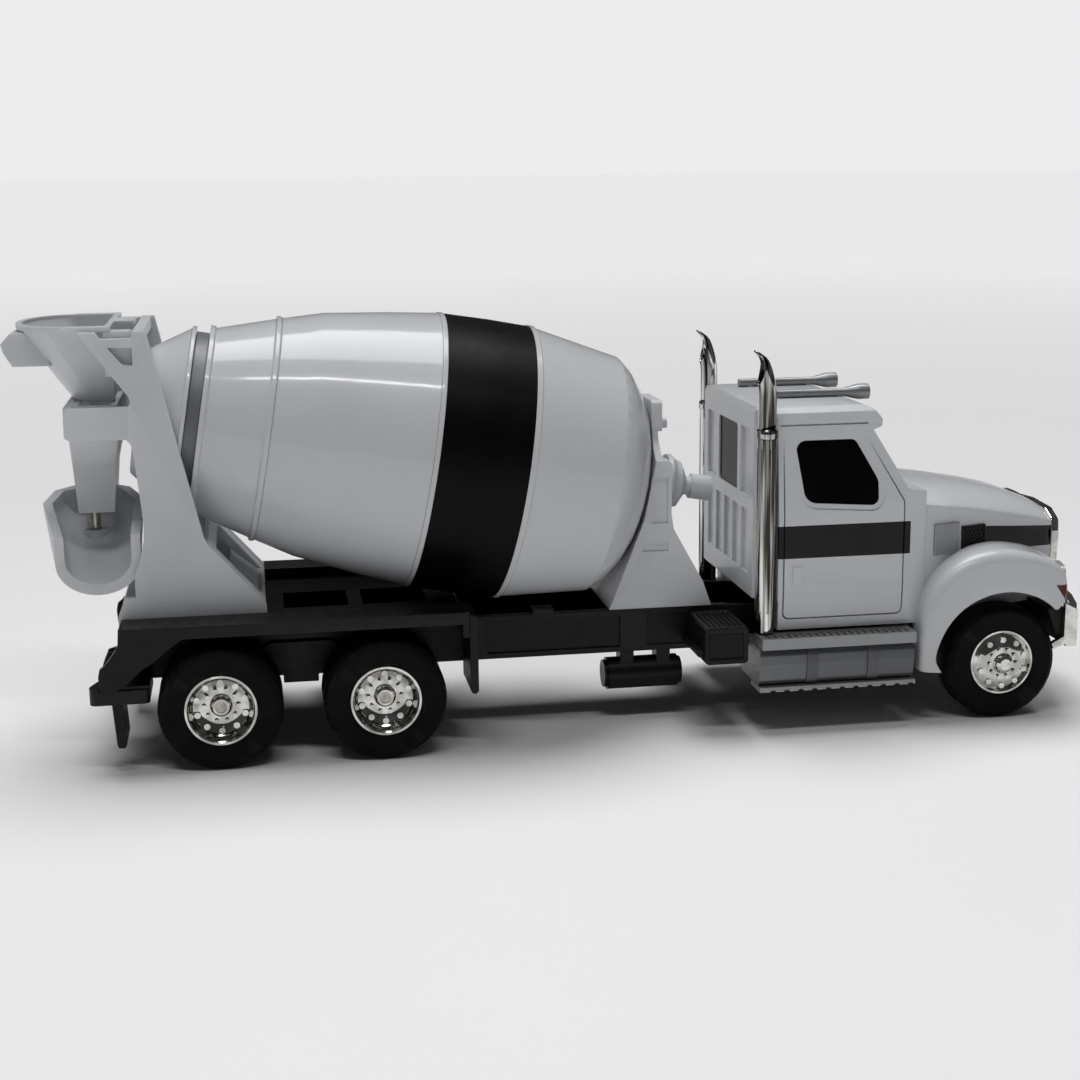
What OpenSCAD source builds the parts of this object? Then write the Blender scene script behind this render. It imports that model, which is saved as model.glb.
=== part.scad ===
// Toy cement mixer truck, 1:32, as separate fitted pieces.
// Millimetres. +X is the direction of travel, +Y the truck's left, +Z up, ground at Z = 0.
// Inside the modules X is measured from the rearmost axle.

/* [Truck] */
// Tyre diameter
tyre_d = 33; // [28:0.5:40]
// Rearmost axle to front axle
wheelbase = 218.8; // [180:0.2:260]
// Spacing of the two rear axles
tandem = 43.6; // [36:0.2:52]
// Width over the tyres, fenders and tanks
truck_w = 76; // [66:1:90]
// Tail of the hopper handle behind the rearmost axle
tail_x = -52.5; // [-64:0.5:-46]
// Front of the bumper ahead of the rearmost axle
nose_x = 250; // [240:0.5:270]

/* [Frame] */
// Height of the top of the frame rails
rail_top = 32.8; // [28:0.2:38]
// Depth of a frame rail
rail_h = 12.4; // [8:0.2:16]
// Outer half width over the rails
rail_out = 16; // [12:0.5:20]
// Rail thickness
rail_t = 2.6; // [1.6:0.2:4]
// Height of the rear deck strips
deck_z = 39.9; // [36:0.1:44]
// Diameter of the wheel axles
axle_d = 3.2; // [2:0.1:5]

/* [Drum] */
// Tilt of the drum, rear end up
drum_tilt = 9.8; // [5:0.1:18]
// Height of the drum axis above the rearmost axle
drum_z = 88.2; // [80:0.1:98]
// Largest drum radius
drum_r = 39; // [32:0.2:44]
// Drum wall
drum_wall = 1.6; // [1:0.1:3]

/* [Rear end] */
// Inner half width between the side plates that carry the drum
plate_in = 24.2; // [22:0.1:28]
// Side plate thickness
plate_t = 2.2; // [1.4:0.1:4]
// Chute pin, behind the rearmost axle
pin_x = -32.4; // [-38:0.1:-28]
// Chute pin diameter
pin_d = 3.2; // [2:0.1:5]
// Swing of the chute from its place on the right side
chute_swing = 0; // [0:1:190]

/* [Cab] */
// Back wall of the cab
cab_back = 147.5; // [144:0.5:152]
// Half width of the cab at the doors
cab_w = 32.5; // [28:0.5:36]
// Shell thickness
shell = 1.8; // [1.2:0.1:3]

/* [Show] */
// Piece to draw

/* [Hidden] */
$fn = 64;
play = 0.3;                       // gap between pieces that turn
pad_drop = 0.4;                   // the flat pad stands this far below the rails
chute_rest = 5.5;                 // angle of the chute from square across the truck
rear_axle_x = -(tail_x + nose_x) / 2;
tyre_r = tyre_d / 2;
rail_bot = rail_top - rail_h;
side = truck_w / 2;
front_x = wheelbase;
plate_out = plate_in + plate_t;
axle_x = [0, tandem, wheelbase];
white = [0.93, 0.94, 0.95];
black = [0.06, 0.06, 0.07];
chrome = [0.80, 0.81, 0.83];
silver = [0.55, 0.56, 0.58];
steel = [0.50, 0.48, 0.45];
grey = [0.45, 0.46, 0.48];

// ---------- helpers ----------

module at_truck() { translate([rear_axle_x, 0, 0]) children(); }

module both_sides() {
    children();
    mirror([0, 1, 0]) children();
}

// a side view (x forward, z up) given a width from y0 to y1
module side_slab(y0, y1) {
    translate([0, y1, 0]) rotate([90, 0, 0]) linear_extrude(height = y1 - y0) children();
}

// a front view (y left, z up) given a length from x0 to x1
module front_slab(x0, x1) {
    translate([x0, 0, 0]) rotate([90, 0, 90]) linear_extrude(height = x1 - x0) children();
}

// a plan view given a height from z0 to z1
module plan_slab(z0, z1) {
    translate([0, 0, z0]) linear_extrude(height = z1 - z0) children();
}

module box(x0, x1, y0, y1, z0, z1) {
    translate([x0, y0, z0]) cube([x1 - x0, y1 - y0, z1 - z0]);
}

// rod across the truck
module cross_rod(x, z, r, y0, y1) {
    translate([x, y1, z]) rotate([90, 0, 0]) cylinder(h = y1 - y0, r = r);
}

// rod along the truck
module long_rod(y, z, r, x0, x1) {
    translate([x0, y, z]) rotate([0, 90, 0]) cylinder(h = x1 - x0, r = r);
}

module rounded(r) { offset(r = r) offset(delta = -r) children(); }

function arc(cx, cy, r, a0, a1, n = 14) =
    [for (i = [0:n]) let (a = a0 + (a1 - a0) * i / n) [cx + r * cos(a), cy + r * sin(a)]];

// right half of an outline followed by its mirror image
function mirrored(pts) = concat(pts, [for (i = [len(pts) - 1:-1:0]) [-pts[i][0], pts[i][1]]]);

// ---------- frame ----------

module rail_side() {
    polygon([[-25, rail_bot + 4], [-20, rail_bot], [236, rail_bot], [240, rail_bot + 3],
        [240, rail_top - 4], [190, rail_top - 4], [142, rail_top], [-25, rail_top]]);
}

module chassis_frame() at_truck() color(black) difference() {
    union() {
        both_sides() difference() {
            side_slab(rail_out - rail_t, rail_out) rail_side();
            // outer channel of the rail
            for (c = [[74, 112, 1.6], [120, 140, 1.6], [148, 192, 6]])
                box(c[0], c[1], rail_out - 0.7, rail_out + 1, rail_bot + 1.6, rail_top - c[2]);
        }
        box(-24, 238, -rail_out + 1, rail_out - 1, rail_bot + 3, rail_bot + 5.2);
        for (x = [-25, 20, 62, 112, 140, 186, 232])
            box(x, x + 4, -rail_out + 1, rail_out - 1, rail_bot + 3, rail_top - 4.2);
        // flat pad under the middle of the frame
        box(72, 104, -12, 12, rail_bot - pad_drop, rail_bot + 4);
        // hangers that carry the axles
        for (x = axle_x) both_sides() side_slab(rail_out - 5, rail_out)
            polygon([[x - 7, rail_bot + 4], [x - 4, tyre_r - 4], [x + 4, tyre_r - 4],
                [x + 7, rail_bot + 4]]);
        // low clip on top of the right rail
        box(87, 93, -rail_out, -rail_out + 5.5, rail_top - 0.5, rail_top + 1.2);
        // cross panel behind the bumper
        side_slab(-side + 2, side - 2) polygon([[231.6, 31.8], [237, 31.8], [236.4, 24],
            [235.9, 22.3], [235, 22.3]]);
    }
    box(230, 238, -22, 22, 29.9, 33);
    for (x = axle_x) cross_rod(x, tyre_r, axle_d / 2 + play, -side, side);
}

module deck_quarter() {
    polygon([[-25.2, deck_z], [-25.5, 35.8], [-26.2, 34.3], [-27.9, 31.9], [-29.3, 30.2],
        [-30.5, 29.3], [-30.9, 27.4], [-30.7, 23.7], [-29.6, 23.2], [-26.6, 23.3],
        [-25.2, 24.2], [-22.6, 26.1], [-19.8, 28.7], [-16.3, 30.9], [-13.3, 33.5],
        [-9, 36.5], [-9, deck_z]]);
}

module rear_deck() at_truck() color(black) difference() {
    union() {
        // raised strips over the wheels
        both_sides() box(-25, 66.4, 26.6, side - 0.2, deck_z - 2.2, deck_z);
        both_sides() box(-25, 66.4, side - 1.8, side - 0.2, deck_z - 3.4, deck_z);
        both_sides() box(-25, 66.4, 26.6, 28.2, deck_z - 5.4, deck_z);
        box(-25, 66.4, -28.2, 28.2, deck_z - 5.4, deck_z - 3.4);
        both_sides() side_slab(side - 2.4, side - 0.2) deck_quarter();
        // walls down to the frame
        both_sides() box(-24, 66.4, rail_out, rail_out + 1.8, rail_top - 3, deck_z - 4.6);
        box(-25, -23, -26, 26, rail_top, deck_z - 3.4);
        box(64.4, 66.4, -28.2, 28.2, rail_top, deck_z - 3.4);
        both_sides() box(64.6, 66.4, 26.6, side - 0.2, rail_top, deck_z);
    }
    // long slots between the rails
    for (x = [18, 40]) box(x, x + 18, -9, 9, rail_top, deck_z);
}

// step plate at the right rear corner
module rear_step() at_truck() color(black) difference() {
    plan_slab(19.4, 24) rounded(1.4) polygon([[-33.8, -34.8], [-32.6, -36.4], [-18.2, -36.4],
        [-18.2, -rail_out], [-24, -rail_out], [-29.4, -24], [-32.2, -30]]);
    box(-28.7, -25.5, -35.9, -10, 18, 25);
    box(-31.2, -18, -side, -35.55, 23.1, 25);
}

module tow_hitch() at_truck() color(black) difference() {
    side_slab(-3, 3) polygon([[-21, 19.2], [-32.4, 19.2], [-32.8, 19.6], [-32.5, 21.3],
        [-31.2, 24.3], [-28.6, 25.1], [-25.1, 25.1], [-25.1, 23.3], [-21, 23.3]]);
    translate([-29.6, 0, 19]) cylinder(h = 7, r = 1.1);
}

module rear_mud_flaps() at_truck() color(black) both_sides() {
    side_slab(20.5, 35.4) polygon([[-28.4, 24.4], [-25.8, 24.4], [-24.8, 8], [-25.2, 7.2],
        [-26.8, 7.2], [-27.2, 8]]);
    // hanger to the frame
    box(-28.4, -25.8, rail_out - 2, 35.4, 24.4, 26.4);
    box(-26, -25.05, rail_out - 2.6, rail_out, 24.5, 26.4);
}

module middle_mud_flaps() at_truck() color(black) both_sides()
    side_slab(20.5, side - 0.2) polygon([[66.4, deck_z - 0.6], [68.6, deck_z - 1.2], [68.6, 18],
        [68, 17.2], [66.9, 17.2], [66.4, 18]]);

module rear_suspension() at_truck() color(black) both_sides() {
    // leaf pack and hanger between the rear wheels
    difference() {
        union() {
            side_slab(rail_out, rail_out + 1.9) polygon([[5, 21], [12, 19.6],
                [31, 19.6], [38.6, 21], [38.6, 24], [30, 29], [14, 29], [5, 24]]);
            box(17, 26.6, rail_out, rail_out + 1.9, 17.5, 24);
        }
        for (x = [9.6, 34]) cross_rod(x, 22.6, 0.7, 0, side);
    }
}

module front_axle_beam() at_truck() color(black) both_sides()
    difference() {
        side_slab(rail_out, 22.6) polygon([[front_x - 4.6, 13], [front_x + 4.6, 13],
            [front_x + 3.4, 20], [front_x - 3.4, 20]]);
        cross_rod(front_x, tyre_r, axle_d / 2 + play, 0, side);
    }

module battery_boxes() at_truck() color(black) both_sides() {
    difference() {
        side_slab(rail_out, 36.2) polygon([[131.6, 21.6], [132.6, 20.8], [143.2, 20.8],
            [144, 21.6], [144, 30.6], [143.4, 31.4], [132.2, 31.4], [131.6, 30.6]]);
        for (i = [0:6]) box(133 + i * 1.45, 133.7 + i * 1.45, rail_out + 3, 35.2, 30.7, 32);
        box(133, 142.6, 35.7, 37, 22.4, 29.4);
    }
    box(130.2, 131.6, rail_out, 34, 22.6, 24.4);
}

module air_tank_bracket() at_truck() color(black)
    for (x = [112.2, 122.8]) box(x, x + 4, -15.2, -9.2, 15.4, rail_bot);

module air_tank() at_truck() color(black) difference() {
    union() {
        long_rod(-12.2, 13.3, 4.6, 108.6, 129.2);
        for (x = [107.6, 129.2]) long_rod(-12.2, 13.3, 3.9, x, x + 1);
    }
    for (x = [112.2, 122.8]) box(x, x + 4, -15.2, -9.2, 15.4, 20);
}

module chassis_screws() at_truck() color(steel) for (x = [56, 196]) for (s = [-1, 1])
    translate([x, s * 7, rail_bot + 1.4]) difference() {
        cylinder(h = 1.6, r = 2.4, $fn = 32);
        translate([0, 0, -0.1]) box(-1.8, 1.8, -0.3, 0.3, 0, 0.7);
        translate([0, 0, -0.1]) box(-0.3, 0.3, -1.8, 1.8, 0, 0.7);
    }

// ---------- cab ----------

module cab_side(in) offset(delta = -in) polygon([[cab_back, 37], [cab_back, 89.2],
    [cab_back + 0.8, 90.7], [cab_back + 2.4, 91.3], [177, 91.3], [181.2, 89.6], [183.4, 86.8],
    [183.2, 84.8], [180.6, 83.9], [190.6, 67.4], [196.5, 66.2], [196.5, 28.6], [153.4, 28.6],
    [153.4, 37]]);

module cab_front(in) offset(delta = -in) polygon(mirrored([[0, 91.3], [22, 91.3], [26.4, 90.6],
    [28.6, 89], [29.4, 87], [29.4, 85.4], [30.2, 83.6], [cab_w - 0.1, 62], [cab_w, 58],
    [cab_w, 40], [cab_w - 0.5, 30], [cab_w - 1.2, 28]]));

module cab_volume(in) intersection() {
    side_slab(-40, 40) cab_side(in);
    front_slab(140, 200) cab_front(in);
    plan_slab(20, 100) cab_plan(in);
}

// room inside the cab, open underneath
module cab_room() {
    cab_volume(shell);
    translate([0, 0, -4]) intersection() {
        cab_volume(shell);
        box(140, 200, -40, 40, 20, 42);
    }
}

// plan outline of the cab, both halves
module cab_plan(in) offset(delta = -in) polygon([[cab_back, -26.4], [cab_back + 1.2, -27.6],
    [152.8, -27.6], [153.2, -28], [153.2, -40], [190, -40], [191, -cab_w], [196.5, -30.4],
    [196.5, 30.4], [191, cab_w], [190, 40], [153.2, 40], [153.2, 28], [152.8, 27.6],
    [cab_back + 1.2, 27.6], [cab_back, 26.4]]);

module side_window() polygon(concat(arc(173.8, 79.2, 2.4, 30, 90, 6),
    arc(161, 79, 2.6, 90, 180, 8), arc(164.3, 68.2, 4, 180, 265, 8),
    arc(179.9, 65.2, 2.1, 265, 355, 6), [[181.9, 69.6], [181.4, 70.9]]));

module screen_window() rounded(2) polygon([[-26.4, 69.4], [26.4, 69.4], [24.6, 82.6],
    [-24.6, 82.6]]);

module cab_windows() {
    side_slab(-40, 40) side_window();
    front_slab(178, 200) screen_window();
    front_slab(140, 156) rounded(1.2) square_yz(10, 65, 84);
}

module square_yz(w, z0, z1) polygon([[-w, z0], [w, z0], [w, z1], [-w, z1]]);

module door_outline() rounded(2) polygon([[154.6, 31.6], [154.6, 84.4], [177.4, 84.4],
    [189.6, 64], [189.6, 31.6]]);

module cab_shell() at_truck() color(white) difference() {
    union() {
        cab_volume(0);
        // door handles
        both_sides() box(157.4, 159.8, cab_w - 0.6, cab_w + 0.4, 41.4, 46.6);
    }
    cab_room();
    cab_windows();
    // notches over the frame rails
    side_slab(-rail_out - 0.2, rail_out + 0.2) polygon([[150, 20], [150, 32.5], [198, 29.1],
        [198, 20]]);
    // door seams
    both_sides() side_slab(30.4, 34) difference() {
        door_outline();
        offset(delta = -0.4) door_outline();
    }
    both_sides() side_slab(cab_w - 0.5, 34) difference() {
        offset(r = 1.6) side_window();
        offset(r = 1.1) side_window();
    }
    // recessed panels and ribs on the back wall
    both_sides() box(cab_back - 1, cab_back + 0.8, 13, 22.5, 65, 84);
    for (y = [-21.5, -12.5, -3.5, 5.5, 14.5]) box(cab_back - 1, cab_back + 0.7, y, y + 7, 43, 61);
    // seam under the roof edge
    both_sides() side_slab(28.6, 34) polygon([[154, 85.5], [179.2, 85.5], [179.2, 86],
        [154, 86]]);
}

module window_insert() at_truck() color(black) {
    intersection() {
        difference() {
            cab_volume(0.5);
            cab_volume(shell + 1.3);
        }
        cab_windows();
    }
    // carrier inside the shell that joins the panes
    intersection() {
        difference() {
            cab_volume(shell + 0.05);
            cab_volume(shell + 1.3);
        }
        box(140, 200, -40, 40, 61, 83.4);
    }
}

// ---------- hood and fenders ----------

module hood_slice(x, w, z_low, z_shoulder, z_top) front_slab(x, x + 0.1)
    polygon(mirrored([[0, z_top], [w * 0.55, z_top - 0.5], [w * 0.82, z_top - 2.2],
        [w, z_shoulder], [w, z_low]]));

module hood_volume(low) hull() {
    hood_slice(196.7, 30, low, 62.6, 66.4);
    hood_slice(228, 21.6, low, 56.7, 61.8);
    hood_slice(240.3, 17.4, low, 53.4, 56.9);
}

// room under the hood, open underneath and towards the cab
module hood_room() intersection() {
    side_slab(-30, 30) polygon([[190, 20], [190, 60.8], [196.8, 60.8], [228, 54.2],
        [238.4, 51.6], [238.4, 20]]);
    plan_slab(10, 70) polygon([[190, -28.1], [238.4, -15.9], [238.4, 15.9], [190, 28.1]]);
}

module fender_side() polygon(concat([[193.6, 15.8], [200.2, 15.2]],
    arc(front_x, tyre_r, 21, 176, 47, 16),
    [[233.9, 31.4], [235.3, 33.6], [236.4, 37.2], [236.2, 42.2], [232.6, 45.6], [226, 48.2],
        [218, 49.4], [209, 48.6], [202, 45], [197.4, 39.6], [194, 33]]));

module fender_plan() polygon([[190, 24], [190, 36.4], [193.4, side - 0.4], [197, side],
    [232, side], [236, 37.2], [238.4, 33], [240.2, 26], [240.4, 14], [206, 14]]);

module fender_front() polygon([[12, 10], [side, 10], [side, 43.4], [side - 0.7, 46],
    [side - 2.6, 48.4], [side - 5.4, 49.6], [12, 50]]);

module hood() at_truck() color(white) difference() {
    union() {
        hood_volume(30);
        // low ornament on the nose
        box(235.4, 238.4, -0.6, 0.6, 57, 59.6);
    }
    hood_room();
    // seats of the side plates and vents
    both_sides() {
        vent_frame(0.05);
        plate_frame(0.05);
    }
}

// the two fenders, one each side of the hood
module fender_volume() intersection() {
    side_slab(14, side) fender_side();
    plan_slab(0, 80) fender_plan();
    front_slab(180, 250) fender_front();
}

module front_fenders() at_truck() color(white) both_sides() difference() {
    fender_volume();
    // clear of the hood and the front corner of the cab
    plan_slab(10, 70) polygon([[180, 0], [180, cab_w + 0.1], [191, cab_w + 0.1], [196.6, 30.5],
        [196.8, 30.05], [228, 21.65], [240.4, 17.45], [250, 14], [250, 0]]);
    // clear of the cross panel behind the bumper
    side_slab(10, side - 2) polygon([[231, 31.9], [237.1, 31.9], [236.4, 20], [231, 20]]);
    headlight_pocket();
    side_slab(side - 1.6, side + 1) marker_outline();
}

module hood_side_frame(x, z, w, h, t, sink) {
    // lies on the tapering side of the hood
    a = atan((30 - 17.4) / (240.3 - 196.7));
    y = 30 - (x - 196.7) * tan(a);
    translate([x, -y, z]) rotate([0, 0, a]) translate([0, -t, 0]) cube([w, t + sink, h]);
}

module vent_frame(grow) hood_side_frame(208.6 - grow, 47.4 - grow, 8.2 + 2 * grow,
    7.4 + 2 * grow, 0.5, 0.6 + grow);

module plate_frame(grow) hood_side_frame(199.4 - grow, 47.2 - grow, 8.6 + 2 * grow,
    9 + 2 * grow, 0.8, 0.6 + grow);

module hood_vents() at_truck() color(black) both_sides() difference() {
    vent_frame(0);
    for (i = [0:4]) hood_side_frame(209.2, 48 + i * 1.35, 7, 0.7, 0.9, -0.2);
    mirror([0, 1, 0]) fender_volume();
}

module side_plates() at_truck() color(silver) both_sides() difference() {
    plate_frame(0);
    mirror([0, 1, 0]) fender_volume();
}

module nose_outline(in) offset(delta = -in) rounded(2) polygon(mirrored([[0, 57], [12, 56.2],
    [17, 53.6], [17.6, 50], [16.4, 33.6], [14, 31.6], [0, 31.6]]));

module grille_surround() at_truck() color(chrome) difference() {
    front_slab(240.4, 242.9) nose_outline(0);
    front_slab(240, 244) nose_outline(2.4);
}

module grille_bars() at_truck() color(black) {
    front_slab(240.45, 241.3) nose_outline(2.5);
    for (i = [0:6]) box(241.2, 242.1, -14, 14, 35 + i * 2.8, 36 + i * 2.8);
    box(241.2, 242.3, -0.6, 0.6, 34.4, 54);
}

// lamp body set into the front face of a fender
module at_headlight() translate([237.9, 26.5, 39]) rotate([0, 0, 13]) rotate([0, 90, 0])
    children();

module headlight_pocket() at_headlight() translate([-3.8, -5.4, 0]) cube([7.6, 10.8, 9]);

module headlights() at_truck() color([0.85, 0.88, 0.9]) both_sides() at_headlight()
    linear_extrude(height = 1.8) rounded(2.2) square([7.4, 10.6], center = true);

module marker_outline() polygon([[232.6, 39.2], [236.1, 39.2], [236.3, 36.4], [235.6, 34.8]]);

module marker_lenses() at_truck() color([0.85, 0.35, 0.08]) both_sides()
    side_slab(side - 1.6, side) marker_outline();

module front_bumper() at_truck() color(chrome) {
    difference() {
        intersection() {
            plan_slab(20, 34) difference() {
                bumper_bow(0, side);
                bumper_bow(2.2, side - 1.6);
            }
            side_slab(-side, side) polygon([[234, 33.6], [236.3, 33.4], [240.2, 31.4],
                [251, 30.8], [251, 24.4], [248.4, 21], [236.6, 21], [236, 24], [234, 30]]);
        }
        // openings for the lamps and the tow hooks
        both_sides() front_slab(234, 252) translate([24, 26.6]) rounded(1)
            square([6, 3.6], center = true);
        front_slab(236, 254) rounded(1) square_yz(11, 23.6, 27);
    }
    // foot of the end plate
    both_sides() side_slab(side - 1.6, side) polygon([[236, 24], [238.8, 23.5], [237.4, 22],
        [233, 20.4], [232.3, 22]]);
}

// bow of the bumper seen from above
module bumper_bow(back, w) polygon([[236 - 2 * back, -w], [239.8 - back, -w], [240.4 - back, -36],
    [243.4 - back, -30], [247.6 - back, -18], [nose_x - back, -6], [nose_x - back, 6],
    [247.6 - back, 18], [243.4 - back, 30], [240.4 - back, 36], [239.8 - back, w],
    [236 - 2 * back, w]]);

module roof_horns() at_truck() color(silver) both_sides() translate([0, 13.9, 92.5]) {
    long_rod(0, 0, 1.15, 156, 177);
    translate([177, 0, 0]) rotate([0, 90, 0]) cylinder(h = 4.4, r1 = 1.15, r2 = 2.2);
    long_rod(0, 0, 2.2, 181.4, 184.4);
    long_rod(0, 0, 1.18, 154.4, 156);
    for (x = [157, 175]) box(x, x + 1.6, -0.8, 0.8, -1.2, 0);
}

// ---------- exhausts and tanks ----------

module exhaust_pipes() at_truck() color(chrome) both_sides() translate([149.9, 31, 0]) {
    difference() {
        union() {
            translate([0, 0, 84]) cylinder(h = 14.6, r = 2.5);
            translate([-14, 0, 98.6]) rotate([90, 0, 0]) rotate_extrude(angle = 36)
                translate([14, 0]) circle(r = 2.5);
        }
        // slash cut of the tip, open towards the rear
        translate([-2.9, -4, 99]) rotate([0, 15, 0]) translate([-10, 0, -3]) cube([10, 8, 16]);
        translate([0, 0, 88]) cylinder(h = 14, r = 1.9);
    }
    translate([0, 0, 82.6]) cylinder(h = 2.6, r = 3);
}

module exhaust_shields() at_truck() color(chrome) both_sides() translate([149.9, 31, 0])
    difference() {
        translate([0, 0, 28.4]) cylinder(h = 54.2, r = 2.7);
        for (a = [0:45:315]) rotate([0, 0, a]) translate([2.4, -0.3, 34]) cube([1, 0.6, 46]);
    }

module fuel_tanks() at_truck() color(silver) both_sides() side_tank();

module side_tank() front_slab(147, 191.6) rounded(2.4) polygon([[17, 24.6], [37.2, 24.6],
    [37.6, 20], [36.6, 14], [19, 14], [17, 17]]);

module tank_straps() at_truck() color(silver) both_sides() for (x = [160.4, 178])
    difference() {
        front_slab(x, x + 3.2) offset(delta = 0.4) rounded(2.4) polygon([[17, 24.6],
            [37.2, 24.6], [37.6, 20], [36.6, 14], [19, 14], [17, 17]]);
        side_tank();
        box(x - 1, x + 5, 10, 45, 24.3, 26);
        box(x - 1, x + 5, 10, 45, 10, 14.3);
        box(x - 1, x + 5, 10, 30, 10, 30);
    }

module tank_steps() at_truck() color(silver) both_sides() {
    difference() {
        box(147.4, 192, 30, side, 24.6, 27.8);
        for (i = [0:20]) box(149 + i * 2, 150.1 + i * 2, 33.2, 37.2, 27.3, 28.4);
    }
    difference() {
        box(146.8, 192, 29, side, 12.6, 14);
        for (i = [0:10]) box(150 + i * 4, 151.4 + i * 4, 29.5, side + 1, 12.2, 13);
    }
}

// ---------- pedestals, hopper and chute ----------

// turns and slides a shape onto the drum axis: its own +Z runs forward along the axis
module on_drum_axis() translate([0, 0, drum_z]) rotate([0, 90 + drum_tilt, 0]) children();

module front_pedestal_side() polygon([[109, rail_top], [138.6, rail_top], [136.2, 39.8],
    [127.6, 55.4], [126.9, 60], [127.1, 74], [126.2, 75], [122.6, 75], [119.2, 58.4]]);

module front_pedestal() at_truck() color(white) difference() {
    union() {
        // hollow foot, open underneath
        difference() {
            side_slab(-15.8, 15.8) front_pedestal_side();
            side_slab(-13.4, 13.4) offset(delta = -2) front_pedestal_side();
            box(112, 136, -13.4, 13.4, rail_top - 1, rail_top + 2.2);
        }
        // tower in front of the drum
        front_slab(122.6, 124.6) polygon(mirrored([[0, 74], [15.8, 74], [12, 77.4], [9.2, 80],
            [8.6, 82], [8.6, 90], [0, 90]]));
        front_slab(122.6, 125.7) rounded(1.4) square_yz(9.2, 82.2, 91);
        long_rod(-4, 84, 1.5, 125, 128);
    }
    // room for the drum, its shaft and the gearbox flange
    on_drum_axis() rotate_extrude($fn = 96) polygon([[0, 80], [40, 80], [39.6, 86], [34.5, 110.5],
        [31.9, 114.2], [27.7, 117.6], [23, 120.2], [17.5, 122.2], [11.4, 123.4], [0, 123.8]]);
    on_drum_axis() cylinder(h = 140, r = 4.6 + play);
    on_drum_axis() translate([0, 0, 129.6]) cylinder(h = 6, r = 8.6);
    // recesses in the near and far faces
    both_sides() box(121.2, 125.9, 15.1, 17, 57.2, 70.2);
    both_sides() box(118.4, 125.9, 15.2, 17, 49.2, 51.6);
}

module gearbox() at_truck() color(white) on_drum_axis() rotate_extrude()
    polygon([[4.9, 129.7], [8.2, 129.7], [8.4, 131], [7, 132.6], [6.6, 134.2], [4.4, 135.4],
        [2.7, 136.4], [2.7, 138], [0, 138], [0, 133], [4.9, 133]]);

module drive_motor() at_truck() color(white) on_drum_axis() {
    translate([0, 0, 138]) cylinder(h = 6, r = 3.6);
    rotate([0, 0, 90]) translate([0, 0, 141]) rotate([0, 90, 0]) cylinder(h = 4.4, r = 2.1);
}

module rear_plate() difference() {
    polygon([[-14.6, 115.6], [-2.4, 60.6], [-1.4, 58.6], [13.2, 41.8], [13.4, deck_z - 3.4],
        [-25.8, deck_z - 3.4], [-25.7, 40.4], [-23.4, 46.4], [-21.4, 51], [-19.2, 55.6],
        [-18, 61], [-17.8, 66], [-19.4, 84.6], [-20, 86.6], [-21, 87.7], [-35.6, 87.9],
        [-36.6, 88.9], [-36.5, 95.3], [-35.5, 96.3], [-20, 96.3], [-19.4, 97.3],
        [-19.7, 98.8], [-31.8, 115.6]]);
    polygon([[-24.4, 111.6], [-18.2, 111.6], [-18.2, 107], [-20.3, 107], [-21.2, 107.6]]);
    polygon([[-27.6, 116], [-26.2, 113.9], [-18.2, 113.9], [-18.2, 116]]);
}

module rear_pedestal() at_truck() color(white) difference() {
    union() {
        both_sides() side_slab(plate_in, plate_out) rear_plate();
        // floor with its rear lip
        side_slab(-plate_in - 0.1, plate_in + 0.1) polygon([[-25.6, deck_z - 3.4],
            [12.4, deck_z - 3.4], [12.4, deck_z - 1.4], [-23.2, deck_z - 1.4], [-24.1, 44],
            [-25.5, 40.4]]);
        // sloping wall under the front of the plates
        side_slab(-plate_in - 0.1, plate_in + 0.1) polygon([[-2.8, 58], [-1.6, 58.4],
            [13, 41.6], [13.2, deck_z - 3.2], [10, deck_z - 3.2], [10, deck_z]]);
        // leaning wall whose top edge runs in the ring groove of the drum
        on_drum_axis() translate([22, -plate_in - 0.1, -5.6])
            cube([28.6, 2 * plate_in + 0.2, 2.1]);
        // collar round the downspout
        box(-36.6, -34.6, -plate_in - 0.1, plate_in + 0.1, 88, 96.2);
        // bar across the top of the posts
        box(-18.1, -15.4, -plate_in - 0.1, plate_in + 0.1, 112.6, 115.5);
    }
    // room for the drum, its two lips and the ring between them
    on_drum_axis() rotate_extrude($fn = 96) polygon([[0, -22], [16.9, -22], [25.9, -8.4],
        [25.9, -5.9], [24.3, -5.9], [24.3, -3.3], [27.2, -3.3], [27.2, 8], [31.8, 13],
        [31.8, 18], [40, 60], [0, 60]]);
    // room for the corners of the chute as it swings
    translate([pin_x, 0, 45.5]) cylinder(h = 26, r = 28.8, $fn = 96);
    // window in the sloping wall
    side_slab(-17, 17) polygon([[0, 52], [11, 42.4], [18, 42], [1, 62]]);
}

module hopper_plan(x0, x1, w, in) offset(delta = -in) polygon(concat(
    [[x1, -w], [x1, w]], [for (a = [0:12]) let (t = 90 + a * 15)
        [x0 + w * 0.62 + w * 0.62 * cos(t), w * sin(t)]]));

module hopper_volume(in, up) hull() {
    translate([0, 0, 115.6 + up]) linear_extrude(height = 1.2)
        hopper_plan(-49.6, -23.6, 21.5, in);
    translate([0, 0, 96.3 - up]) linear_extrude(height = 0.6) hopper_plan(-36, -24, 14, in);
}

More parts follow.
